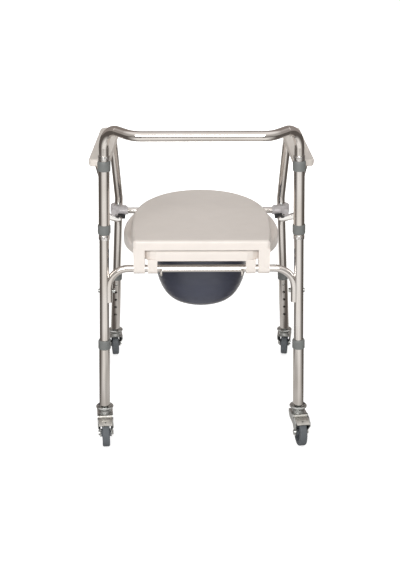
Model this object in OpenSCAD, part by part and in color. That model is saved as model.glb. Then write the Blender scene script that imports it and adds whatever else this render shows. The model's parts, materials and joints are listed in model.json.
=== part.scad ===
// Wheeled commode chair: bent chrome tubes, moulded seat and lid, a pail on a rod rack and four casters.
// X runs across the chair, +Y is the way the sitter faces and Z is up from the floor.
// The origin is on the floor, under the middle of the chair.

/* [Frame] */
// Distance from the rear columns to the front legs
wheelbase = 519; // [505:1:540]
// Half distance between the rear columns at the height of the crossbars
rear_half = 250.5; // [246:0.5:256]
// Half distance between the front legs at the height of the crossbars
front_half = 249; // [245:0.5:254]
// Outward lean of the rear columns, in degrees
rear_splay = 1.8; // [1.4:0.1:2.2]
// Outward lean of the front legs, in degrees
front_splay = 3.2; // [2.8:0.1:3.5]
// Diameter of the frame tube
tube_d = 25; // [24:0.2:25.6]
// Wall of every frame tube
tube_wall = 1.5; // [1.2:0.1:2]
// Height of the top of the rear columns, at the tube's centre
frame_top_z = 865; // [850:1:885]
// How far the back bar stands behind the columns
bar_back = 80; // [76:1:90]
// How far the back bar lies below the top of the columns
bar_drop = 6; // [2:1:10]
// Bend radius of the frame tube
frame_bend_r = 50; // [46:1:54]
// Height of the axis of the rear crossbar
crossbar_z = 497; // [490:1:500]
// Height of the axis of the front crossbar
front_bar_z = 503; // [500:0.5:504]
// Diameter of the crossbars and the side rails
rail_d = 19; // [18:0.5:20]
// Bend radius of the rear crossbar
crossbar_bend_r = 53; // [45:1:58]
// Height of the lower end of the rear crossbar
crossbar_end_z = 405; // [402:1:412]
// Height of the bolts that hold the rear crossbar
crossbar_bolt_z = 436; // [428:1:444]

/* [Column sleeves] */
// Outer diameter of the sleeves on the columns and the legs
sleeve_d = 28.6; // [28.2:0.2:29.4]
// Running gap between a tube and the sleeve round it
running_gap = 0.3; // [0.25:0.05:0.4]
// How far the top of the rear columns stands above the column sleeves
handle_rise = 90; // [86:1:95]
// Length of a column sleeve
sleeve_len = 180; // [176:1:192]
// Diameter of a plastic collar
collar_d = 33; // [32:0.5:35]
// Height of a plastic collar
collar_h = 25; // [22:1:28]
// Thickness of the lip that closes a collar on its tube
collar_lip = 5; // [3:1:7]
// Height of a stop ring
stop_ring_h = 10; // [8:1:12]

/* [Arms] */
// How far the arm tubes lie below the top of the column sleeves
arm_drop = 23; // [19:1:27]
// Half distance between the arm tubes
arm_half = 259.5; // [255:0.5:261]
// How far below the top of its sleeve the rear end of an arm tube meets it
arm_end_drop = 40; // [37:1:45]
// Height where the front leg begins to lean back and out
post_knee_z = 535; // [530:1:560]
// How far the post leans back on its way up to the armrest
post_lean = 35; // [25:1:45]
// Bend radius at the front of the arm tube
arm_bend_r = 60; // [50:1:70]
// How far below the crossbar latch the axis of the side rail passes
rail_latch_drop = 6.2; // [6:0.1:12]
// How far below the top of its sleeve the side rail meets it
side_rail_drop = 135; // [125:1:140]
// Width of an armrest
armrest_w = 55; // [50:1:60]
// Length of an armrest
armrest_len = 392; // [370:1:400]
// Thickness of an armrest over its tube
armrest_cover = 7; // [6:0.5:9]

/* [Legs] */
// Height of the upper edge of the leg sleeves' collars
leg_collar_z = 297; // [292:1:300]
// Height of the lower end of the leg sleeves
leg_low_z = 106; // [104:1:112]
// Height of the highest adjusting hole, where the snap button stands
hole_top_z = 257; // [254:1:260]
// Distance between adjusting holes
hole_pitch = 25; // [24:0.5:26]
// Number of adjusting holes in a leg sleeve
hole_count = 5; // [3:1:5]
// Diameter of an adjusting hole
hole_d = 8; // [7:0.5:9]

/* [Casters] */
// Diameter of a caster wheel
wheel_d = 75; // [72:1:76]
// Width of the tyre
tyre_w = 20; // [18:1:22]
// Horizontal distance from the swivel axis to the axle
trail = 35; // [32:1:38]
// Width over the upper part of the fork
fork_w = 42.6; // [40:0.2:44]
// Width over the fork at the axle
fork_axle_w = 32.6; // [32:0.2:34]
// Thickness of the fork's sheet
fork_t = 2.4; // [2:0.1:2.8]
// Diameter of the bearing dish
dish_d = 47; // [44:1:50]
// Diameter of the axle bolt
axle_d = 8; // [7:0.5:9]
// Radial gap between the tyre and the brake plate
brake_gap = 3.5; // [3:0.1:4]

/* [Seat and lid] */
// Greatest width of the seat
seat_w = 421; // [410:1:430]
// Greatest width of the lid
lid_w = 374; // [366:1:380]
// Distance from the rear columns to the widest line of the seat
seat_mid = 185; // [180:1:190]
// Distance from the rear columns to the widest line of the lid
lid_mid = 200; // [190:1:210]
// Distance from the rear columns to the front edge of the seat
seat_front = 508; // [502:1:510]
// Distance from the rear columns to the front edge of the lid
lid_front = 476; // [465:1:485]
// Height of the lower edge of the seat
seat_low_z = 521; // [520:0.5:523]
// Height of the seat's skirt
seat_h = 27.5; // [26:0.5:28]
// Height of the lid's skirt
lid_h = 26; // [24:0.5:27]
// Wall of the seat and lid mouldings
mould_wall = 3; // [2.5:0.1:3.5]
// Width of the opening in the seat
opening_w = 225; // [210:1:240]
// Length of the opening in the seat
opening_len = 270; // [250:1:280]

/* [Pail] */
// Width of the pail's rim outside its body
pail_rim_w = 13; // [11:1:14]
// Diameter of the pail's body just under its rim
pail_body_d = 260; // [250:1:262]
// Height of the pail
pail_h = 153; // [130:1:160]
// Wall of the pail
pail_wall = 2.5; // [2:0.1:3]
// Distance from the rear columns to the pail's centre
pail_y = 210; // [205:1:215]
// Diameter of the rack's rod
rod_d = 8; // [7:0.5:8]
// Height of the axis of the rack's side rods
rack_z = 483; // [478:0.5:483]

/* [Hidden] */
$fn = 48;

LEFT = -1;
RIGHT = 1;
FRONT = 1;
REAR = -1;

tube_r = tube_d / 2;
wheel_r = wheel_d / 2;
// How much thicker a bend is than the straights it laps over
bend_swell = 0.2;
sleeve_top_z = frame_top_z - handle_rise;
sleeve_low_z = sleeve_top_z - sleeve_len;
arm_z = sleeve_top_z - arm_drop;
arm_end_z = sleeve_top_z - arm_end_drop;
side_rail_rear_z = sleeve_top_z - side_rail_drop;
tyre_corner = 4;
front_yaw = 8.5;
rear_yaw = [6, 9];
// The chair is centred between the back bar and the front wheels
wheel_reach = (trail + wheel_r - tyre_corner) * cos(front_yaw)
    + (tyre_w / 2 - tyre_corner) * sin(front_yaw) + tyre_corner;
bar_reach = bar_back + tube_r + bend_swell / 2;
centre_shift = (bar_reach - wheel_reach) / 2;
rear_y = centre_shift - wheelbase / 2;
front_y = centre_shift + wheelbase / 2;
sleeve_r = sleeve_d / 2;
rail_r = rail_d / 2;
rod_r = rod_d / 2;
sleeve_bore = tube_d + 2 * running_gap;
// Gap between fixed pieces that seat on each other's curved faces
seat_gap = 0.1;
// Wall of the crossbars and rails
rail_wall = tube_wall;

// Chrome, plastic and rubber colours
chrome = [0.78, 0.77, 0.75];
zinc = [0.70, 0.71, 0.71];
ivory = [0.88, 0.85, 0.80];
collar_grey = [0.45, 0.47, 0.48];
hook_grey = [0.60, 0.61, 0.61];
pail_blue = [0.29, 0.30, 0.36];
tyre_grey = [0.34, 0.36, 0.38];
black = [0.08, 0.08, 0.09];

// ---------- placing ----------

function splay(end) = end == FRONT ? front_splay : rear_splay;
function half_at_bar(end) = end == FRONT ? front_half : rear_half;
function leg_x(end, z) = half_at_bar(end) + (crossbar_z - z) * tan(splay(end));
function leg_y(end) = end == FRONT ? front_y : rear_y;
function leg_point(side, end, z) = [side * leg_x(end, z), leg_y(end), z];

// Z axis up along a leaning column or leg, from height z
module on_leg(side, end, z)
    translate(leg_point(side, end, z)) rotate([0, -side * splay(end), 0]) children();

// Length along a leg between two heights
function along(end, low, high) = (high - low) / cos(splay(end));

function unit(v) = v / norm(v);
function turn(a, b) = acos(min(1, a * b));
module aim(d) rotate([0, acos(d.z), atan2(d.y, d.x)]) children();
module axes(x, y, z)
    if (abs(x.z) > 0.999999) rotate([atan2(-sign(x.z) * y.x, y.y), -sign(x.z) * 90, 0]) children();
    else rotate([atan2(y.z, z.z), asin(-x.z), atan2(x.y, x.x)]) children();

// Rod of diameter d along points p, with every corner bent to radius r.
// The bends are a hair thicker and lap over the straights, so the pieces join cleanly.
module bent_rod(p, d, r) {
    last = len(p) - 1;
    lap = min(1, r / 20);
    dir = [for (i = [0:last - 1]) unit(p[i + 1] - p[i])];
    cut = [for (i = [0:last]) i == 0 || i == last ? lap : r * tan(turn(dir[i - 1], dir[i]) / 2)];
    for (i = [0:last - 1])
        translate(p[i] + dir[i] * (cut[i] - lap)) aim(dir[i])
            cylinder(d = d, h = norm(p[i + 1] - p[i]) - cut[i] - cut[i + 1] + 2 * lap);
    for (i = [1:last - 1]) {
        a = dir[i - 1];
        b = dir[i];
        n = unit(b - a * (a * b));
        translate(p[i] - a * cut[i] + n * r) axes(-n, a, cross(a, n))
            rotate_extrude(angle = turn(a, b)) translate([r, 0]) circle(d = d + bend_swell);
    }
}

// The same as a tube, with both ends open
module bent_tube(p, d, wall, r) {
    last = len(p) - 1;
    over = 1;
    longer = [for (i = [0:last])
        i == 0 ? p[0] + unit(p[0] - p[1]) * over
            : i == last ? p[last] + unit(p[last] - p[last - 1]) * over : p[i]];
    difference() {
        bent_rod(p, d, r);
        bent_rod(longer, d - 2 * wall, r);
    }
}

module tube(outer, bore, h) difference() {
    cylinder(d = outer, h = h);
    translate([0, 0, -1]) cylinder(d = bore, h = h + 2);
}

// Rounded rectangle about the origin
module rounded_rect(w, h, r) {
    square([w, h - 2 * r], center = true);
    square([w - 2 * r, h], center = true);
    for (x = [-1, 1], y = [-1, 1])
        translate([x * (w / 2 - r), y * (h / 2 - r)]) circle(r);
}

// ---------- rear frame ----------

bar_z = frame_top_z - bar_drop;
bar_half = 165;
tube_end_z = hole_top_z - 15;
button_hole_d = hole_d;

// Bore for the snap button, through the wall of a leg's inner tube that faces the seat
module button_bore(side, end, d)
    on_leg(side, end, hole_top_z) rotate([end * 90, 0, 0]) cylinder(d = d, h = sleeve_d);

module rear_frame_tube() color(chrome) difference() {
    bent_tube([leg_point(LEFT, REAR, tube_end_z), leg_point(LEFT, REAR, frame_top_z),
        [-bar_half, rear_y - bar_back, bar_z], [bar_half, rear_y - bar_back, bar_z],
        leg_point(RIGHT, REAR, frame_top_z), leg_point(RIGHT, REAR, tube_end_z)],
        tube_d, tube_wall, frame_bend_r);
    for (side = [LEFT, RIGHT]) {
        button_bore(side, REAR, button_hole_d);
        crossbar_bolt_bore(side);
    }
}

stop_ring_gap = 3;
rivet_d = 6;
rivet_out = 1.6;

module stop_ring(side, z) on_leg(side, REAR, z) {
    tube(sleeve_d, tube_d + 2 * seat_gap, stop_ring_h);
    translate([0, -sleeve_r + 1, stop_ring_h / 2]) rotate([90, 0, 0])
        cylinder(d = rivet_d, h = rivet_out + 1);
}

collar_over = collar_lip + running_gap;

module column_stop_rings() color(zinc) for (side = [LEFT, RIGHT]) {
    stop_ring(side, sleeve_top_z + collar_over + stop_ring_gap);
    stop_ring(side, sleeve_low_z - collar_over - stop_ring_gap - stop_ring_h);
}

module column_sleeve(side) color(chrome) on_leg(side, REAR, sleeve_low_z)
    tube(sleeve_d, sleeve_bore, along(REAR, sleeve_low_z, sleeve_top_z));

// Collar pushed over the end of a sleeve at z = 0, with its tapered lip above
module collar() {
    chamfer = 1;
    taper = 1.8;
    skirt = collar_h - collar_lip;
    rotate_extrude() polygon([
        [sleeve_r + seat_gap, -skirt], [collar_d / 2 - chamfer, -skirt], [collar_d / 2, -skirt + chamfer],
        [collar_d / 2, 0], [collar_d / 2 - taper / 3, collar_lip * 0.55],
        [collar_d / 2 - taper, collar_lip], [sleeve_bore / 2, collar_lip],
        [sleeve_bore / 2, seat_gap], [sleeve_r + seat_gap, seat_gap]]);
}

module sleeve_collars() color(collar_grey) for (side = [LEFT, RIGHT]) {
    on_leg(side, REAR, sleeve_top_z) collar();
    on_leg(side, REAR, sleeve_low_z) mirror([0, 0, 1]) collar();
}

// ---------- rear crossbar ----------

// The vertical ends are pressed onto the inner face of the columns
crossbar_inset = tube_r - 1;
crossbar_bolt_d = 6;

function crossbar_corner(side, z) = leg_point(side, REAR, z) - [side * crossbar_inset, 0, 0];

module crossbar_bolt_bore(side)
    translate([side * leg_x(REAR, crossbar_bolt_z), rear_y, crossbar_bolt_z])
        rotate([0, 90, 0]) cylinder(d = crossbar_bolt_d + 2 * seat_gap, h = 80, center = true);

module rear_crossbar() color(chrome) difference() {
    bent_tube([crossbar_corner(LEFT, crossbar_end_z), crossbar_corner(LEFT, crossbar_z),
        crossbar_corner(RIGHT, crossbar_z), crossbar_corner(RIGHT, crossbar_end_z)],
        rail_d, rail_wall, crossbar_bend_r);
    for (side = [LEFT, RIGHT]) {
        on_leg(side, REAR, crossbar_end_z - 10)
            cylinder(r = tube_r + seat_gap, h = crossbar_z - crossbar_end_z + 40);
        crossbar_bolt_bore(side);
    }
}

// Gap under the bolt heads and nuts, which sit square on leaning tubes
lean_gap = 0.4;
bolt_head_d = 11;
bolt_head_h = 4;
nut_across = 11;
nut_h = 5;
crossbar_inner = crossbar_inset + rail_r;

module crossbar_bolts() color(zinc) for (side = [LEFT, RIGHT])
    translate([side * leg_x(REAR, crossbar_bolt_z), rear_y, crossbar_bolt_z])
        rotate([0, side * 90, 0]) {
            translate([0, 0, tube_r + lean_gap]) intersection() {
                cylinder(d = bolt_head_d, h = bolt_head_h);
                translate([0, 0, -bolt_head_h]) sphere(r = 2 * bolt_head_h);
            }
            translate([0, 0, -crossbar_inner - nut_h - 2])
                cylinder(d = crossbar_bolt_d, h = crossbar_inner + nut_h + 3 + tube_r);
        }

module crossbar_nuts() color(zinc) for (side = [LEFT, RIGHT])
    translate([side * leg_x(REAR, crossbar_bolt_z), rear_y, crossbar_bolt_z])
        rotate([0, side * 90, 0]) translate([0, 0, -crossbar_inner - nut_h - lean_gap])
            difference() {
                cylinder(d = nut_across / cos(30), h = nut_h, $fn = 6);
                translate([0, 0, -1]) cylinder(d = crossbar_bolt_d + 2 * seat_gap, h = nut_h + 2);
            }

// ---------- side frames ----------

post_top_y = front_y - post_lean;
arm_turn = 75;
arm_turn_y = rear_y + arm_turn;
post_bolt_z = 520;
post_bolt_d = 6;

module post_bolt_bore(side) translate([side * leg_x(FRONT, post_bolt_z), front_y, post_bolt_z])
    rotate([90, 0, 0]) cylinder(d = post_bolt_d + 2 * seat_gap, h = tube_d);

function arm_path(side) = [leg_point(side, FRONT, tube_end_z), leg_point(side, FRONT, post_knee_z),
    [side * arm_half, post_top_y, arm_z], [side * arm_half, arm_turn_y, arm_z],
    leg_point(side, REAR, arm_end_z)];

module arm_tube(side) color(chrome) difference() {
    bent_tube(arm_path(side), tube_d, tube_wall, arm_bend_r);
    on_leg(side, REAR, arm_end_z - 40) cylinder(r = sleeve_r + seat_gap, h = 80);
    button_bore(side, FRONT, button_hole_d);
    post_bolt_bore(side);
    for (y = armrest_screw_ys)
        translate([side * arm_half, y, arm_z]) cylinder(d = screw_d + 2 * seat_gap, h = 80, center = true);
}

module side_rail(side) {
    front = leg_point(side, FRONT, side_rail_front_z);
    rear = leg_point(side, REAR, side_rail_rear_z);
    color(chrome) difference() {
        bent_tube([front, rear], rail_d, rail_wall, 20);
        on_leg(side, FRONT, side_rail_front_z - 40) cylinder(r = tube_r + seat_gap, h = 80);
        on_leg(side, REAR, side_rail_rear_z - 40) cylinder(r = sleeve_r + seat_gap, h = 80);
    }
}

module post_bolts() color(zinc) for (side = [LEFT, RIGHT])
    translate([side * leg_x(FRONT, post_bolt_z), front_y - tube_r, post_bolt_z])
        rotate([90, 0, 0]) {
            translate([0, 0, seat_gap]) intersection() {
                cylinder(d = 9, h = 3.5);
                translate([0, 0, -3]) sphere(r = 6.5);
            }
            translate([0, 0, -8]) cylinder(d = post_bolt_d, h = 9);
        }

armrest_rear = 48;
armrest_y = rear_y + armrest_rear + armrest_len / 2;
armrest_screw_ys = [armrest_y - armrest_len / 3.4, armrest_y + armrest_len / 4];
screw_d = 5;
armrest_top = tube_r + armrest_cover;
armrest_crown_r = 150;
armrest_edge_r = 7;
armrest_corner_r = 24;
screw_head_h = 3;

// Section across an armrest, with the axis of its tube at the origin
module armrest_section() intersection() {
    translate([0, armrest_top / 2]) rounded_rect(armrest_w, armrest_top, armrest_edge_r);
    translate([0, armrest_top - armrest_crown_r]) circle(armrest_crown_r, $fn = 180);
}

module armrest(side) color(ivory) difference() {
    translate([side * arm_half, armrest_y, arm_z]) intersection() {
        rotate([90, 0, 0]) linear_extrude(armrest_len, center = true) armrest_section();
        linear_extrude(80, center = true) rounded_rect(armrest_w, armrest_len, armrest_corner_r);
        translate([0, 0, armrest_top / 2]) rotate([90, 0, 90]) linear_extrude(armrest_w + 2, center = true)
            rounded_rect(armrest_len, armrest_top, armrest_edge_r);
    }
    bent_rod(arm_path(side), tube_d + 2 * seat_gap, arm_bend_r);
    for (y = armrest_screw_ys)
        translate([side * arm_half, y, arm_z]) cylinder(d = screw_d + 2 * seat_gap, h = armrest_top - 2);
}

module armrest_screws() color(zinc) for (side = [LEFT, RIGHT], y = armrest_screw_ys)
    translate([side * arm_half, y, arm_z]) {
        translate([0, 0, -tube_r - seat_gap - screw_head_h]) cylinder(d = 2 * screw_d, h = screw_head_h);
        translate([0, 0, -tube_r - 1]) cylinder(d = screw_d, h = tube_r + 1 + armrest_top - 3);
    }

// ---------- front crossbar, its hooks and latches ----------

front_bar_y = front_y - tube_r - rail_r - seat_gap;
hook_bore = tube_d + 2 * seat_gap;
hook_d = 50;
hook_h = 26;
hook_low_z = front_bar_z - hook_h / 2;
socket_d = 25;
socket_len = 26;
boss_d = 18;
boss_out = 13;
hook_trim = 1.5;

function hook_x(side) = side * leg_x(FRONT, front_bar_z);
function bar_end_x(side) = hook_x(side) - side * 6;

module front_crossbar() color(chrome) difference() {
    translate([bar_end_x(LEFT), front_bar_y, front_bar_z]) rotate([0, 90, 0])
        tube(rail_d, rail_d - 2 * rail_wall, bar_end_x(RIGHT) - bar_end_x(LEFT));
    rack_screw_bores();
}

// Moulded hook: a socket on the bar's end and a claw round the outside of the leg
module crossbar_hook(side) color(hook_grey) difference() {
    union() {
        on_leg(side, FRONT, hook_low_z) {
            translate([0, 0, hook_trim]) cylinder(d = hook_d, h = hook_h - 2 * hook_trim);
            cylinder(d1 = hook_d - 2 * hook_trim, d2 = hook_d, h = hook_trim);
            translate([0, 0, hook_h - hook_trim])
                cylinder(d1 = hook_d, d2 = hook_d - 2 * hook_trim, h = hook_trim);
        }
        translate([bar_end_x(side) - side * (socket_len - 2), front_bar_y, front_bar_z])
            rotate([0, side * 90, 0]) cylinder(d = socket_d, h = socket_len);
        translate([hook_x(side) + side * boss_out, front_y - tube_r - 1, hook_low_z + boss_d / 2])
            rotate([90, 0, 0]) cylinder(d = boss_d, h = 14);
    }
    on_leg(side, FRONT, hook_low_z - hook_h) cylinder(d = hook_bore, h = 3 * hook_h);
    // Flat underside for the latch to slide on
    translate([hook_x(side), front_y, hook_low_z - hook_h / 2])
        cube([2 * hook_d, 2 * hook_d, hook_h], center = true);
    // The mouth, open towards the front and the seat
    translate([hook_x(side) - side * 30, front_y + 15, front_bar_z])
        cube([60, 30, 2 * hook_h], center = true);
    translate([hook_x(side) - side * 20, front_y + 6, front_bar_z])
        cube([40, 18, 2 * hook_h], center = true);
    translate([0, front_bar_y, front_bar_z]) rotate([0, 90, 0])
        cylinder(d = rail_d + 2 * seat_gap, h = 2 * (abs(bar_end_x(side)) + seat_gap), center = true);
}

latch_t = 2.6;
latch_low_z = hook_low_z - running_gap - latch_t;
latch_in = 22;
latch_w = 24;
latch_rail_y = front_bar_y - 3;
thumb_w = 12;
thumb_t = 4;
thumb_h = front_bar_z - 5 - latch_low_z;
thumb_y = front_bar_y - socket_d / 2 - running_gap - thumb_t;
// The side rail slopes up from the front leg and passes under the latch
rail_at_latch = (front_y - thumb_y) / wheelbase;
side_rail_front_z = (latch_low_z - rail_latch_drop - side_rail_rear_z * rail_at_latch)
    / (1 - rail_at_latch);

// Black slide under the hook, with a thumb plate on the seat's side that is pushed inwards
module latch(side) color(black)
    translate([side * (leg_x(FRONT, front_bar_z) - latch_in), 0, latch_low_z])
        mirror([side == LEFT ? 1 : 0, 0, 0]) {
            translate([0, thumb_y, 0]) cube([thumb_w, front_bar_y + 5 - thumb_y, latch_t]);
            translate([0, latch_rail_y, 0]) cube([latch_w, 8, latch_t]);
            translate([0, thumb_y + thumb_t, 0]) rotate([90, 0, 0]) linear_extrude(thumb_t)
                polygon([[0, -5], [9, -5], [thumb_w, 2], [latch_w - 2, 5], [latch_w - 2, thumb_h],
                    [0, thumb_h - 3]]);
        }

// ---------- pail and rack ----------

rack_back_half = 104;
rack_back_y = rear_y - rail_r - rod_r - seat_gap;
rack_back_z = crossbar_z + 1;
rack_clear = 2;
rack_half = pail_body_d / 2 + rod_r + rack_clear;
rack_wide_half = rack_half + 22;
rack_bend_r = 6.5;
rack_narrow_y = rear_y + 75;
rack_back_in_y = rear_y + 28;
rack_screw_d = 4;

function rack_side(side) = [
    [side * rack_wide_half, front_bar_y, front_bar_z - rail_r - seat_gap],
    [side * rack_wide_half, front_bar_y, rack_z],
    [side * rack_wide_half, front_bar_y - 32, rack_z],
    [side * rack_half, front_bar_y - 80, rack_z],
    [side * rack_half, rack_narrow_y, rack_z],
    [side * rack_back_half, rack_back_in_y, rack_z],
    [side * rack_back_half, rack_back_y, rack_z],
    [side * rack_back_half, rack_back_y, rack_back_z]];

module rack_screw_bores() for (side = [LEFT, RIGHT])
    translate([side * rack_wide_half, front_bar_y, front_bar_z - rail_r - 2])
        cylinder(d = rack_screw_d + 2 * seat_gap, h = 5);

module pail_rack() color(chrome) {
    left = rack_side(LEFT);
    right = rack_side(RIGHT);
    bent_rod(concat(left, [for (i = [len(right) - 1:-1:0]) right[i]]), rod_d, rack_bend_r);
    for (side = [LEFT, RIGHT])
        translate([side * rack_wide_half, front_bar_y, front_bar_z - rail_r - 3])
            cylinder(d = rack_screw_d, h = 6);
}

pail_rim_t = 3;
pail_top_z = rack_z + rod_r + running_gap + pail_rim_t;
pail_foot_r = 62;
pail_round_h = 120;
pail_taper = 0.98;

// Half section of the pail from the axis outwards, with the rim's top at height 0
module pail_half(inset, rim) {
    r_top = pail_body_d / 2 - inset;
    r_low = r_top * pail_taper;
    low = -pail_h + inset;
    round_h = pail_round_h;
    polygon(concat([[0, 0], [rim, 0], [rim, -pail_rim_t], [r_top, -pail_rim_t], [r_low, low + round_h]],
        [for (a = [10:10:80]) [pail_foot_r + (r_low - pail_foot_r) * cos(a), low + round_h * (1 - sin(a))]],
        [[pail_foot_r, low], [0, low]]));
}

module pail() color(pail_blue) translate([0, rear_y + pail_y, pail_top_z]) rotate_extrude($fn = 96)
    difference() {
        pail_half(0, pail_body_d / 2 + pail_rim_w);
        pail_half(pail_wall, pail_body_d / 2 - pail_wall);
    }

// ---------- seat and lid ----------

seat_top_z = seat_low_z + seat_h;
lid_low_z = seat_top_z + 1.5;
lid_top_z = lid_low_z + lid_h;
clip_bore_r = rail_r + running_gap;
clip_r = clip_bore_r + 3.6;
clip_proud = 0.4;
seat_rear_y = rear_y - clip_r + clip_proud;

outline_points = 72;
outline_angles = [for (i = [0:outline_points - 1]) (i + 0.5) * 360 / outline_points];
function power(v, e) = sign(v) * pow(abs(v), e);

// How square the outlines are: 2 is an ellipse
front_blunt = 2.12;
seat_blunt = 2.1;
lid_blunt = 2.2;
opening_blunt = 0.87;
seat_rear_len = 240;
lid_rear_len = 500;

// Plan of a moulding: a superellipse about its widest line, cut straight at its rear edge
function plan(w, mid, front, rear_blunt, rear_len, inset) = [for (a = outline_angles)
    let(e = sin(a) > 0 ? 2 / front_blunt : 2 / rear_blunt, depth = sin(a) > 0 ? front - mid : rear_len)
    [(w / 2 - inset) * power(cos(a), e),
        max(rear_y + mid + (depth - inset) * power(sin(a), e), seat_rear_y + inset)]];

function seat_plan(inset) = plan(seat_w, seat_mid, seat_front, seat_blunt, seat_rear_len, inset);
function lid_plan(inset) = plan(lid_w, lid_mid, lid_front, lid_blunt, lid_rear_len, inset);
function opening_plan(grow) = [for (a = outline_angles)
    [(opening_w / 2 + grow) * power(cos(a), opening_blunt),
        opening_y + (opening_len / 2 + grow) * power(sin(a), opening_blunt)]];

function raised(points, z) = [for (q = points) [q.x, q.y, z]];
function between(from, to, t) = from + t * (to - from);

// Faces that join ring j to the next of m rings, wrapping round if the skin is a closed band
function band(j, m) = [for (i = [0:outline_points - 1])
    let(k = (i + 1) % outline_points, n = (j + 1) % m)
    [j * outline_points + i, n * outline_points + i, n * outline_points + k, j * outline_points + k]];
function joined(rings) = [for (ring = rings, q = ring) q];

// Solid through rings of points, the first one lowest, with flat ends
module skin(rings) {
    m = len(rings);
    polyhedron(points = joined(rings), faces = concat([[for (i = [0:outline_points - 1]) i]],
        [for (j = [0:m - 2], f = band(j, m)) f],
        [[for (i = [outline_points - 1:-1:0]) (m - 1) * outline_points + i]]));
}

// Ring-shaped solid: the rings run up the outside, over the top and down the inside
module ring_skin(rings) polyhedron(points = joined(rings),
    faces = [for (j = [0:len(rings) - 1], f = band(j, len(rings))) f]);

// Snap clip round the rear crossbar, open below, with a web up to height z
module clip(x, w, z) translate([x, rear_y, crossbar_z]) difference() {
    union() {
        rotate([0, 90, 0]) cylinder(r = clip_r, h = w, center = true);
        translate([-w / 2, -clip_r, 0]) cube([w, clip_r + 5, z - crossbar_z]);
    }
    rotate([0, 90, 0]) cylinder(r = clip_bore_r, h = w + 2, center = true);
    translate([0, 0, -clip_r]) cube([w + 2, 11, 2 * clip_r], center = true);
}

clip_x = 126;
clip_w = 25;
strap_x = 160;
strap_w = 29;
clip_hold = 4;

seat_edge_r = 9;
lid_edge_r = 9;
seat_hollow = 3;
opening_skirt = 6;
opening_y = rear_y + pail_y;

// Skin of the seat, shrunk by a wall: outside, crowned top and the rounded edge of the opening
function seat_rings(wall) =
    let(r = seat_edge_r - wall, edge_z = seat_top_z - seat_edge_r, low_z = seat_low_z - (wall > 0 ? 1 : 0),
        crown_edge = seat_plan(seat_edge_r), crown_hole = opening_plan(seat_edge_r))
    concat([raised(seat_plan(wall), low_z)],
        [for (a = [0:22.5:67.5]) raised(seat_plan(seat_edge_r - r * cos(a)), edge_z + r * sin(a) - a / 90)],
        [for (t = [0, 0.25, 0.6, 1]) raised(between(crown_edge, crown_hole, t),
            seat_top_z - wall - seat_hollow * max(0, t - 0.25) - (t == 0 ? 1 : 0))],
        [for (a = [60, 30, 0]) raised(opening_plan(seat_edge_r - r * cos(a)),
            edge_z - seat_hollow + 1 + r * sin(a))],
        [raised(opening_plan(wall), low_z + (wall > 0 ? 0 : opening_skirt))]);

module seat() color(ivory) {
    difference() {
        ring_skin(seat_rings(0));
        ring_skin(seat_rings(mould_wall));
    }
    for (side = [LEFT, RIGHT]) {
        clip(side * clip_x, clip_w, seat_low_z + clip_hold);
        seat_foot(side, seat_low_z, seat_h - mould_wall - 1);
    }
}

foot_x = 36;
foot_w = 24;
foot_t = 10;

// Block under the seat's front edge, over the front crossbar
module seat_foot(side, z, h) translate([side * foot_x - foot_w / 2, front_bar_y - foot_t / 2, z])
    cube([foot_w, foot_t, h]);

module linear_extrude_at(z, h) translate([0, 0, z]) linear_extrude(h) children();

module lid() color(ivory) {
    edge_z = lid_top_z - lid_edge_r;
    difference() {
        skin(concat([raised(lid_plan(0), lid_low_z)],
            [for (a = [0:18:90]) raised(lid_plan(lid_edge_r * (1 - cos(a))), edge_z + lid_edge_r * sin(a))]));
        linear_extrude_at(lid_low_z - 1, lid_h - lid_edge_r + 1) polygon(lid_plan(mould_wall));
        linear_extrude_at(lid_low_z - 1, lid_h - mould_wall + 1) polygon(lid_plan(2 * mould_wall));
    }
    for (side = [LEFT, RIGHT]) clip(side * strap_x, strap_w, lid_low_z + clip_hold);
    lid_bosses(lid_low_z, lid_h - mould_wall + 1);
}

boss_x = 150;
boss_ys = [rear_y + 45, rear_y + 300];
boss_r = 6;

// Round bosses under the lid, and the rubber pads on their ends
module lid_bosses(z, h) for (side = [LEFT, RIGHT], y = boss_ys)
    translate([side * boss_x, y, z]) cylinder(r = boss_r, h = h);

bumper_low_z = front_bar_z + rail_r + running_gap;

module seat_bumpers() color(black) for (side = [LEFT, RIGHT])
    seat_foot(side, bumper_low_z, seat_low_z - seat_gap - bumper_low_z);

module lid_bumpers() color(black)
    lid_bosses(seat_top_z + running_gap, lid_low_z - seat_gap - seat_top_z - running_gap);

// ---------- legs ----------

module leg_sleeve(side, end) color(chrome) difference() {
    on_leg(side, end, leg_low_z)
        tube(sleeve_d, sleeve_bore, along(end, leg_low_z, leg_collar_z - collar_lip));
    for (i = [0:hole_count - 1])
        on_leg(side, end, hole_top_z - i * hole_pitch) rotate([end * 90, 0, 0])
            cylinder(d = hole_d, h = sleeve_d);
}

module leg_collar(side, end) color(collar_grey)
    on_leg(side, end, leg_collar_z - collar_lip) collar();

// Snap button on its folded leaf spring, inside the inner tube
module snap_button(side, end) color(zinc) on_leg(side, end, hole_top_z) rotate([end * 90, 0, 0]) {
    foot = 4.5;
    translate([0, 0, foot]) intersection() {
        cylinder(d = hole_d - 2 * running_gap, h = tube_r - foot);
        translate([0, 0, -1]) sphere(r = tube_r - foot + 1);
    }
    rotate([90, 0, 90]) linear_extrude(6, center = true)
        polygon([for (q = [[-5, 5.1], [30, -0.5], [6, -5.2], [6, -4.3], [26, -0.6], [-5, 4.2]])
            [end * q.x, q.y]]);
}

// ---------- casters, each drawn trailing to -Y about its vertical swivel axis ----------

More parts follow.
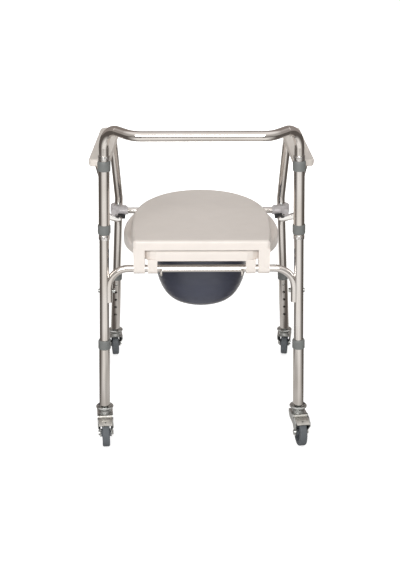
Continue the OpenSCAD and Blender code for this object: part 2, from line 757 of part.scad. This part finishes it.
crown_z = wheel_d + 5;
crown_t = 3;
cup_top_z = 90;
dish_z = cup_top_z + running_gap;
dish_h = 12;
pin_r = 5;
pin_gap = 0.3;
axle_r = axle_d / 2;
axle_boss_r = 11;
brake_r = wheel_r + brake_gap;
brake_t = 1.8;
brake_pin_r = 2;
brake_barrel_r = 4;
brake_pin_y = -trail + 11;
brake_pin_z = crown_z;
brake_w = fork_w - 2 * fork_t - 2;
// Angles of the brake plate round the axle, from the trailing side upwards
brake_low = 52;
brake_high = 102;
brake_hole_at = 66;
hub_w = fork_axle_w - 2 * fork_t - 1.4;

function caster_yaw(side, end) = end == FRONT ? -side * front_yaw : rear_yaw[side == LEFT ? 0 : 1];

module at_caster(side, end)
    translate([side * leg_x(end, leg_low_z), leg_y(end), 0])
        rotate([0, 0, caster_yaw(side, end) + (end == FRONT ? 180 : 0)]) children();

module caster_stem(side, end) color(zinc) {
    plug_len = 34;
    on_leg(side, end, leg_low_z) cylinder(d = sleeve_bore - 2 * seat_gap, h = plug_len);
    at_caster(side, end) {
        rotate_extrude() polygon([[0, dish_z], [15, dish_z], [dish_d / 2, dish_z + dish_h - 4],
            [dish_d / 2, dish_z + dish_h - 2], [dish_d / 2 - 2, dish_z + dish_h],
            [13, dish_z + 5], [0, dish_z + 5]]);
        translate([0, 0, dish_z + 4]) cylinder(d = 19.6, h = 8, $fn = 6);
        translate([0, 0, dish_z + 4]) cylinder(d = 12, h = leg_low_z - dish_z);
        translate([0, 0, crown_z - 3]) cylinder(r = pin_r, h = dish_z - crown_z + 4);
        translate([0, 0, crown_z - 3]) cylinder(r = pin_r + 3, h = 2.6);
    }
}

// Side outline of the fork, in Y and Z
module fork_side() difference() {
    union() {
        polygon([[18, crown_z + crown_t], [18, crown_z - 6], [-trail + axle_boss_r, wheel_r],
            [-trail - axle_boss_r, wheel_r], [-trail - 22, 64], [-trail - 19, crown_z - 6],
            [-trail - 8, crown_z + 1], [brake_pin_y, crown_z + crown_t]]);
        translate([-trail, wheel_r]) circle(axle_boss_r);
        translate([brake_pin_y, brake_pin_z]) circle(6);
    }
    translate([-trail, wheel_r]) circle(axle_r + seat_gap);
}

// Front outline of the fork, in X and Z: a folded sheet, wider above than at the axle
module fork_front() {
    upper = fork_w / 2;
    lower = fork_axle_w / 2;
    t = fork_t;
    high = 64;
    low = 50;
    for (s = [-1, 1]) polygon([[s * upper, crown_z + 8], [s * upper, high], [s * lower, low],
        [s * lower, 20], [s * (lower - t), 20], [s * (lower - t), low], [s * (upper - t), high],
        [s * (upper - t), crown_z + 8]]);
    translate([-upper, crown_z]) square([fork_w, crown_t]);
}

module caster_fork(side, end) color(zinc) at_caster(side, end) difference() {
    union() {
        difference() {
            intersection() {
                rotate([90, 0, 0]) linear_extrude(200, center = true) fork_front();
                rotate([90, 0, 90]) linear_extrude(100, center = true) fork_side();
            }
            // The crown stops in front of the brake
            translate([-brake_w / 2 - 1, brake_pin_y - 60, crown_z - 1])
                cube([brake_w + 2, 60 + brake_barrel_r + 1, crown_t + 8]);
        }
        translate([0, 0, crown_z + crown_t - 0.5])
            cylinder(d1 = 34, d2 = 30, h = cup_top_z - crown_z - crown_t + 0.5);
        translate([0, brake_pin_y, brake_pin_z]) rotate([0, 90, 0])
            cylinder(r = brake_pin_r, h = fork_w, center = true);
    }
    translate([0, 0, crown_z - 1]) cylinder(r = pin_r + pin_gap, h = 20);
}

module caster_axle(side, end) color(zinc) at_caster(side, end) translate([0, -trail, wheel_r])
    rotate([0, 90, 0]) {
        half = fork_axle_w / 2 + seat_gap;
        cylinder(r = axle_r, h = fork_axle_w + 2, center = true);
        translate([0, 0, half]) cylinder(d = 15, h = 4, $fn = 6);
        translate([0, 0, -half - 3.6]) cylinder(d = 14, h = 3.6);
    }

module wheel_section() {
    half = tyre_w / 2;
    corner = tyre_corner;
    difference() {
        union() {
            translate([wheel_r - 12, -half]) square([12 - corner, tyre_w]);
            translate([wheel_r - 12, -half + corner]) square([12, tyre_w - 2 * corner]);
            for (s = [-1, 1])
                translate([wheel_r - corner, s * (half - corner)]) circle(corner);
            translate([axle_r + running_gap, -3]) square([wheel_r - 12 - axle_r, 6]);
            translate([axle_r + running_gap, -hub_w / 2]) square([6.5, hub_w]);
        }
    }
}

module caster_wheel(side, end) color(tyre_grey) at_caster(side, end)
    translate([0, -trail, wheel_r]) rotate([0, 90, 0]) rotate_extrude($fn = 72) wheel_section();

// Curved strip round the axle, between two angles above the trailing side
module brake_strip(r, t, w, low, high) translate([0, -trail, wheel_r]) rotate([90, 0, 90])
    linear_extrude(w, center = true) intersection() {
        difference() {
            circle(r + t);
            circle(r);
        }
        polygon(concat([[0, 0]], [for (a = [low, (low + high) / 2, high])
            2 * (r + t) * [-cos(a), sin(a)]]));
    }

// Curved brake pedal over the wheel, hinged on the pin behind the crown
module caster_brake(side, end) color(zinc) at_caster(side, end) difference() {
    union() {
        brake_strip(brake_r, brake_t, brake_w, brake_low, brake_high);
        // Raised pad for the foot, and the turned-up lower edge
        brake_strip(brake_r + 0.5, brake_t + 0.6, brake_w * 0.55, 74, 92);
        brake_strip(brake_r + 0.2, 3.6, brake_w - 0.4, brake_low + 0.3, brake_low + 3.5);
        translate([0, brake_pin_y, brake_pin_z]) rotate([0, 90, 0])
            cylinder(r = brake_barrel_r, h = brake_w, center = true);
    }
    translate([0, brake_pin_y, brake_pin_z]) rotate([0, 90, 0])
        cylinder(r = brake_pin_r + pin_gap, h = brake_w + 2, center = true);
    translate([0, -trail, wheel_r]) rotate([90 - brake_hole_at, 0, 0]) translate([0, 0, wheel_r])
        cylinder(d = 4, h = 12);
}

// ---------- nodes ----------

rear_frame_tube();
column_stop_rings();
column_sleeve(LEFT);  // column_sleeve_left
column_sleeve(RIGHT);  // column_sleeve_right
sleeve_collars();
rear_crossbar();
crossbar_bolts();
crossbar_nuts();
arm_tube(LEFT);  // arm_tube_left
arm_tube(RIGHT);  // arm_tube_right
side_rail(LEFT);  // side_rail_left
side_rail(RIGHT);  // side_rail_right
armrest(LEFT);  // armrest_left
armrest(RIGHT);  // armrest_right
armrest_screws();
post_bolts();
front_crossbar();
crossbar_hook(LEFT);  // crossbar_hook_left
crossbar_hook(RIGHT);  // crossbar_hook_right
latch(LEFT);  // latch_left
latch(RIGHT);  // latch_right
pail_rack();
pail();
seat();
lid();
seat_bumpers();
lid_bumpers();
for (corner = [["front_left", LEFT, FRONT], ["front_right", RIGHT, FRONT],
    ["rear_left", LEFT, REAR], ["rear_right", RIGHT, REAR]]) {
    name = corner[0];
    side = corner[1];
    end = corner[2];
    leg_sleeve(side, end);
    leg_collar(side, end);
    snap_button(side, end);
    caster_stem(side, end);
    caster_fork(side, end);
    caster_wheel(side, end);
    caster_axle(side, end);
    caster_brake(side, end);
}
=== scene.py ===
"""Looks of a wheeled commode chair: materials, floor, world, lights and camera."""
import json
import math

import bpy
from mathutils import Euler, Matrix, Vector

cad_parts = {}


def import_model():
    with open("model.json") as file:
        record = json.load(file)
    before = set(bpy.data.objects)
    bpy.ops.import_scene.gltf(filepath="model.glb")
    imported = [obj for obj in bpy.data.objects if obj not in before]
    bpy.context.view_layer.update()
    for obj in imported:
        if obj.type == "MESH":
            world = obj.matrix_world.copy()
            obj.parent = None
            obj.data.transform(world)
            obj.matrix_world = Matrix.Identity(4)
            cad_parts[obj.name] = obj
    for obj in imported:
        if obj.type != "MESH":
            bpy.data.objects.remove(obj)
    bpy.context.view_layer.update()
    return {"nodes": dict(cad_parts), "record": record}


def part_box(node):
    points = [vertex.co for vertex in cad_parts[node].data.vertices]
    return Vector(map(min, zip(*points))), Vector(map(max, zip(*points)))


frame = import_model()


def centre(node):
    low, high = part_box(node)
    return (Vector(low) + Vector(high)) / 2


# ---------- shader helpers ----------

MIDDLE_OF_NOISE = (0.35, 0.65)    # most of a noise texture lies between these


def feed(tree, socket, value):
    """Give a socket another node's output, a colour or a number."""
    if isinstance(value, bpy.types.NodeSocket):
        tree.links.new(value, socket)
    elif isinstance(value, tuple):
        socket.default_value = (*value, 1)
    else:
        socket.default_value = value


def new_material(name, colour, roughness, metallic=0.0, coat=0.0, specular=0.5):
    """Material with its constant values on the Principled shader's own sockets."""
    mat = bpy.data.materials.new(name)
    mat.use_nodes = True
    shader = mat.node_tree.nodes["Principled BSDF"]
    values = {
        "Base Color": colour, "Roughness": roughness, "Metallic": metallic,
        "Coat Weight": coat, "Specular IOR Level": specular}
    for socket, value in values.items():
        feed(mat.node_tree, shader.inputs[socket], value)
    return mat, shader


def noise(tree, cells, detail, stretch=(1, 1, 1)):
    """Noise from 0 to 1 in the object's own space, with so many cells per metre."""
    place = tree.nodes.new("ShaderNodeTexCoord")
    mapping = tree.nodes.new("ShaderNodeMapping")
    mapping.inputs["Scale"].default_value = stretch
    texture = tree.nodes.new("ShaderNodeTexNoise")
    texture.inputs["Scale"].default_value = cells
    texture.inputs["Detail"].default_value = detail
    tree.links.new(place.outputs["Object"], mapping.inputs["Vector"])
    tree.links.new(mapping.outputs["Vector"], texture.inputs["Vector"])
    return texture.outputs["Fac"]


def step(tree, value, span, low, high, shape="SMOOTHSTEP"):
    """From low to high as the value goes through the span."""
    node = tree.nodes.new("ShaderNodeMapRange")
    node.interpolation_type = shape
    node.inputs["From Min"].default_value, node.inputs["From Max"].default_value = span
    node.inputs["To Min"].default_value = low
    node.inputs["To Max"].default_value = high
    tree.links.new(value, node.inputs["Value"])
    return node.outputs["Result"]


def uneven(tree, low, high, cells, detail):
    """Noise from low to high, with so many cells per metre."""
    return step(tree, noise(tree, cells, detail), MIDDLE_OF_NOISE, low, high, "LINEAR")


def blend(tree, factor, dark, light):
    """Colour from dark to light as the factor goes from 0 to 1."""
    mix = tree.nodes.new("ShaderNodeMix")
    mix.data_type = "RGBA"
    feed(tree, mix.inputs["Factor"], factor)
    feed(tree, mix.inputs["A"], dark)
    feed(tree, mix.inputs["B"], light)
    return mix.outputs["Result"]


def arithmetic(tree, operation, *values):
    node = tree.nodes.new("ShaderNodeMath")
    node.operation = operation
    for socket, value in zip(node.inputs, values):
        feed(tree, socket, value)
    return node.outputs["Value"]


# ---------- materials ----------
# Each clouds, gloss or relief pair is a noise: its cells per metre and its detail.

def vary(mat, shader, shades, clouds, rough, gloss):
    """Cloud the base colour between two shades, and the roughness between two values."""
    tree = mat.node_tree
    colour = blend(tree, uneven(tree, 0, 1, *clouds), *shades)
    tree.links.new(colour, shader.inputs["Base Color"])
    tree.links.new(uneven(tree, *rough, *gloss), shader.inputs["Roughness"])


def bump(mat, shader, relief, depth, strength=1.0, stretch=(1, 1, 1)):
    """Fine relief in the normal only, so many metres deep."""
    tree = mat.node_tree
    node = tree.nodes.new("ShaderNodeBump")
    node.inputs["Distance"].default_value = depth
    node.inputs["Strength"].default_value = strength
    tree.links.new(noise(tree, *relief, stretch), node.inputs["Height"])
    tree.links.new(node.outputs["Normal"], shader.inputs["Normal"])


def two_shades(colour, low, high):
    """The colour times low, and times high."""
    return [tuple(channel * factor for channel in colour) for factor in (low, high)]


def chrome_plate(name, along):
    """Bright chrome over drawn tube, whose faint draw lines run along it."""
    mat, shader = new_material(name, (0.72, 0.685, 0.65), 0.08, metallic=1)
    vary(mat, shader, shades=((0.68, 0.64, 0.60), (0.75, 0.72, 0.695)), clouds=(9, 3),
         rough=(0.05, 0.13), gloss=(14, 5))
    bump(mat, shader, relief=(150, 2), depth=0.00006, strength=0.5, stretch=along)
    return mat


def polished_ring():
    """Rolled and riveted steel ring: chrome with small dents that glint."""
    mat, shader = new_material("polished_ring", (0.80, 0.78, 0.76), 0.06, metallic=1)
    vary(mat, shader, shades=((0.55, 0.53, 0.52), (0.92, 0.91, 0.90)), clouds=(120, 3),
         rough=(0.04, 0.12), gloss=(90, 3))
    bump(mat, shader, relief=(220, 2), depth=0.0012, strength=0.8)
    return mat


def zinc_plate(name, colour, roughness):
    """Plated sheet steel, clouded and a little dull."""
    mat, shader = new_material(name, colour, roughness, metallic=1)
    vary(mat, shader, shades=two_shades(colour, 0.88, 1.15), clouds=(60, 4),
         rough=(roughness * 0.8, roughness * 1.2), gloss=(160, 4))
    bump(mat, shader, relief=(700, 3), depth=0.00003)
    return mat


def moulded(name, colour, roughness, grain=900, depth=0.00003, mottle=0.06, coat=0.0):
    """Injection-moulded plastic: a fine grain, slight mottling and uneven gloss."""
    mat, shader = new_material(name, colour, roughness, coat=coat)
    vary(mat, shader, shades=two_shades(colour, 1 - mottle, 1 + mottle), clouds=(22, 5),
         rough=(roughness * 0.85, roughness * 1.2), gloss=(35, 4))
    bump(mat, shader, relief=(grain, 3), depth=depth)
    return mat


CHROME = chrome_plate("chrome_upright", along=(1, 1, 0.03))
CHROME_ACROSS = chrome_plate("chrome_across", along=(0.03, 1, 1))
ZINC = zinc_plate("zinc_plate", (0.52, 0.53, 0.52), 0.24)
PEDAL_ZINC = zinc_plate("pedal_zinc", (0.50, 0.49, 0.46), 0.42)
IVORY = moulded(
    "ivory_moulding", (0.825, 0.762, 0.708), 0.34, grain=260, depth=0.00002, mottle=0.012)
ARMREST = moulded("armrest_skin", (0.80, 0.74, 0.68), 0.48, mottle=0.03)
COLLAR = moulded("collar_plastic", (0.176, 0.183, 0.178), 0.48, grain=1200)
HOOK = moulded("hook_plastic", (0.56, 0.535, 0.54), 0.2, coat=0.3)
BLACK = moulded("black_plastic", (0.02, 0.02, 0.022), 0.4)
PAIL = moulded(
    "pail_plastic", (0.056, 0.061, 0.088), 0.22, grain=700, depth=0.00001, mottle=0.05)
TYRE = moulded(
    "tyre_rubber", (0.10, 0.11, 0.12), 0.65, grain=1500, depth=0.00005, mottle=0.12)
RUBBER = moulded("bumper_rubber", (0.03, 0.03, 0.03), 0.7)

FINISH = {
    "chrome_tube": CHROME, "zinc_steel": ZINC, "collar_plastic": COLLAR,
    "armrest_plastic": ARMREST, "hook_plastic": HOOK, "latch_plastic": BLACK,
    "pail_plastic": PAIL, "seat_plastic": IVORY, "bumper_rubber": RUBBER,
    "tyre_rubber": TYRE}

CORNERS = ["front_left", "front_right", "rear_left", "rear_right"]
OWN_FINISH = {
    "front_crossbar": CHROME_ACROSS, "rear_crossbar": CHROME_ACROSS,
    "pail_rack": CHROME_ACROSS, "column_stop_rings": polished_ring(),
    **{"caster_brake_" + corner: PEDAL_ZINC for corner in CORNERS}}

for part in frame["record"]["subparts"]:
    mesh = frame["nodes"][part["node"]].data
    mesh.materials.clear()
    mesh.materials.append(OWN_FINISH.get(part["node"], FINISH[part["material_slot"]]))


# ---------- floor and world ----------
# Both are white to the camera, plain to the light that falls on the chair, and a studio
# in the metal. Y runs from the camera, which is at the back of the chair, to its front.
# A pair of numbers is the span of a soft step, but for the patches.

WHITE = (1, 1, 1)

FLOOR_SIZE = 60
FLOOR_GREY = (0.8, 0.8, 0.8)
GLOW_NEAR_CHAIR = 0.62            # share of full white, so that a shadow shows there
GLOW_RISES = (1.6, 3.2)           # how far out the glow goes up to full white

DARK_FLOOR = (0.13, 0.115, 0.105)
WHITE_PAPER = (1.12, 1.10, 1.07)
PAPER_START = 0.15                # added to the reach, so that the fan starts with a width
PAPER_SIDES = (0.24, 0.70)        # side edges of the fan, as a share of the reach
PAPER_BACK_END = (-4.6, -3.1)     # Y where the paper begins, behind the camera
PAPER_FRONT_END = (1.8, 2.8)      # Y where it ends, in front of the chair
PATCHES = (0.8, 1.06)             # brightness of the paper, which is uneven
PAINTED_SHADOW_UNDER_CHAIR = 0.5                      # share of the paper's brightness left under the chair: a painted shadow of the chair, seen in the metal
PAINTED_SHADOW_FADES = (0.7, 1.3)         # how far out the painted shadow fades and the paper gets its full brightness

FILL_COLOUR = (1, 0.985, 0.965)
FILL_STRENGTH = 0.31
WALL_IN_FRONT = (0.36, 0.32, 0.30)
WALL_BEHIND = (0.5, 0.48, 0.46)
WALL_TURNS = (-0.4, 0.4)          # Y of the direction, from wall behind to wall in front
CEILING_IN_FRONT = (0.26, 0.22, 0.20)
CEILING_ABOVE = (1.05, 1.02, 1.0)
CEILING_TURNS = (0.1, 0.6)        # Y of the direction, from ceiling above to in front
CEILING_STARTS = (0.35, 0.85)     # Z of the direction, from wall to ceiling


def source(tree, kind, colour, strength=1.0):
    """Emission or Background shader of this colour and strength."""
    node = tree.nodes.new("ShaderNode" + kind)
    feed(tree, node.inputs["Color"], colour)
    feed(tree, node.inputs["Strength"], strength)
    return node.outputs[kind]


def by_ray(tree, plain, in_metal, to_camera):
    """The plain shader, but for glossy rays and for camera rays."""
    path = tree.nodes.new("ShaderNodeLightPath")
    shader = plain
    for ray, special in (("Is Glossy Ray", in_metal), ("Is Camera Ray", to_camera)):
        mix = tree.nodes.new("ShaderNodeMixShader")
        tree.links.new(path.outputs[ray], mix.inputs["Fac"])
        tree.links.new(shader, mix.inputs[1])
        tree.links.new(special, mix.inputs[2])
        shader = mix.outputs["Shader"]
    return shader


def axes(tree, output):
    """The X, Y and Z of a texture coordinate."""
    place = tree.nodes.new("ShaderNodeTexCoord")
    split = tree.nodes.new("ShaderNodeSeparateXYZ")
    tree.links.new(place.outputs[output], split.inputs["Vector"])
    return [split.outputs[axis] for axis in "XYZ"]


def stage():
    """Pale floor: white to the camera but for the chair's shadow. In the metal it is a
    strip of white paper on a darker studio floor, with a painted shadow under the chair."""
    bpy.ops.mesh.primitive_plane_add(size=FLOOR_SIZE)
    floor = bpy.context.object
    floor.name = "floor"
    mat, shader = new_material("floor_paper", FLOOR_GREY, 1, specular=0)
    tree = mat.node_tree
    matt = shader.outputs["BSDF"]
    x, y, _ = axes(tree, "Object")
    across = arithmetic(tree, "ABSOLUTE", x)
    along = arithmetic(tree, "ABSOLUTE", y)
    reach = arithmetic(tree, "ADD", arithmetic(tree, "ADD", across, along), PAPER_START)

    paper = step(tree, arithmetic(tree, "DIVIDE", across, reach), PAPER_SIDES, 1, 0)
    for share in (
            step(tree, y, PAPER_FRONT_END, 1, 0),
            step(tree, y, PAPER_BACK_END, 0, 1),
            uneven(tree, *PATCHES, cells=5, detail=3),
            # painted shadow of the chair on the paper seen in the metal: darker near the
            # chair
            step(tree, reach, PAINTED_SHADOW_FADES, PAINTED_SHADOW_UNDER_CHAIR, 1)):
        paper = arithmetic(tree, "MULTIPLY", paper, share)
    in_metal = source(tree, "Emission", blend(tree, paper, DARK_FLOOR, WHITE_PAPER))

    glow = source(tree, "Emission", WHITE, step(tree, reach, GLOW_RISES, GLOW_NEAR_CHAIR, 1))
    to_camera = tree.nodes.new("ShaderNodeAddShader")
    tree.links.new(glow, to_camera.inputs[0])
    tree.links.new(matt, to_camera.inputs[1])

    result = by_ray(tree, matt, in_metal, to_camera.outputs["Shader"])
    tree.links.new(result, tree.nodes["Material Output"].inputs["Surface"])
    floor.data.materials.append(mat)


def world():
    """White to the camera and an even fill on the chair. The metal sees darker walls, and a
    ceiling that is bright from the camera to above the chair and dark in front of it."""
    sky = bpy.data.worlds.new("studio")
    bpy.context.scene.world = sky
    sky.use_nodes = True
    tree = sky.node_tree
    fill = tree.nodes["Background"]
    feed(tree, fill.inputs["Color"], FILL_COLOUR)
    feed(tree, fill.inputs["Strength"], FILL_STRENGTH)

    _, y, z = axes(tree, "Generated")
    wall = blend(tree, step(tree, y, WALL_TURNS, 1, 0), WALL_IN_FRONT, WALL_BEHIND)
    ceiling = blend(tree, step(tree, y, CEILING_TURNS, 1, 0), CEILING_IN_FRONT, CEILING_ABOVE)
    room = blend(tree, step(tree, z, CEILING_STARTS, 0, 1), wall, ceiling)
    result = by_ray(
        tree, fill.outputs["Background"], in_metal=source(tree, "Background", room),
        to_camera=source(tree, "Background", WHITE))
    tree.links.new(result, tree.nodes["World Output"].inputs["Surface"])


# ---------- lights and camera ----------

MIDDLE_OF_CHAIR = (0, 0, 0.5)
SENSOR_WIDTH = 36                 # millimetres


def area_light(name, place, size, power, mirrored):
    """Rectangular light aimed at the middle of the chair, seen in the metal if mirrored."""
    data = bpy.data.lights.new(name, "AREA")
    data.shape = "RECTANGLE"
    data.size, data.size_y = size
    data.energy = power
    light = bpy.data.objects.new(name, data)
    light.location = place
    aim = Vector(MIDDLE_OF_CHAIR) - Vector(place)
    light.rotation_euler = aim.to_track_quat("-Z", "Y").to_euler()
    light.visible_glossy = mirrored
    bpy.context.collection.objects.link(light)


def camera(lens, side, back, height, down, turn):
    """Camera at the back of the chair: so many metres from its middle, its rear crossbar
    and the floor, looking down and turned anticlockwise by so many degrees."""
    data = bpy.data.cameras.new("camera")
    data.sensor_width = SENSOR_WIDTH
    data.lens = lens
    eye = bpy.data.objects.new("camera", data)
    eye.location = (side, centre("rear_crossbar").y - back, height)
    eye.rotation_euler = Euler((math.radians(90 - down), 0, math.radians(turn)))
    bpy.context.collection.objects.link(eye)
    bpy.context.scene.camera = eye


stage()
world()
area_light("key", place=(-0.5, -3.9, 2.5), size=(3.4, 2.0), power=146, mirrored=True)
area_light("front_fill", place=(0.8, 3.4, 1.9), size=(2.4, 1.8), power=62, mirrored=False)
camera(lens=62.65, side=-0.0245, back=2.400, height=1.374, down=21.04, turn=-0.485)
bpy.context.scene.view_settings.view_transform = "Standard"
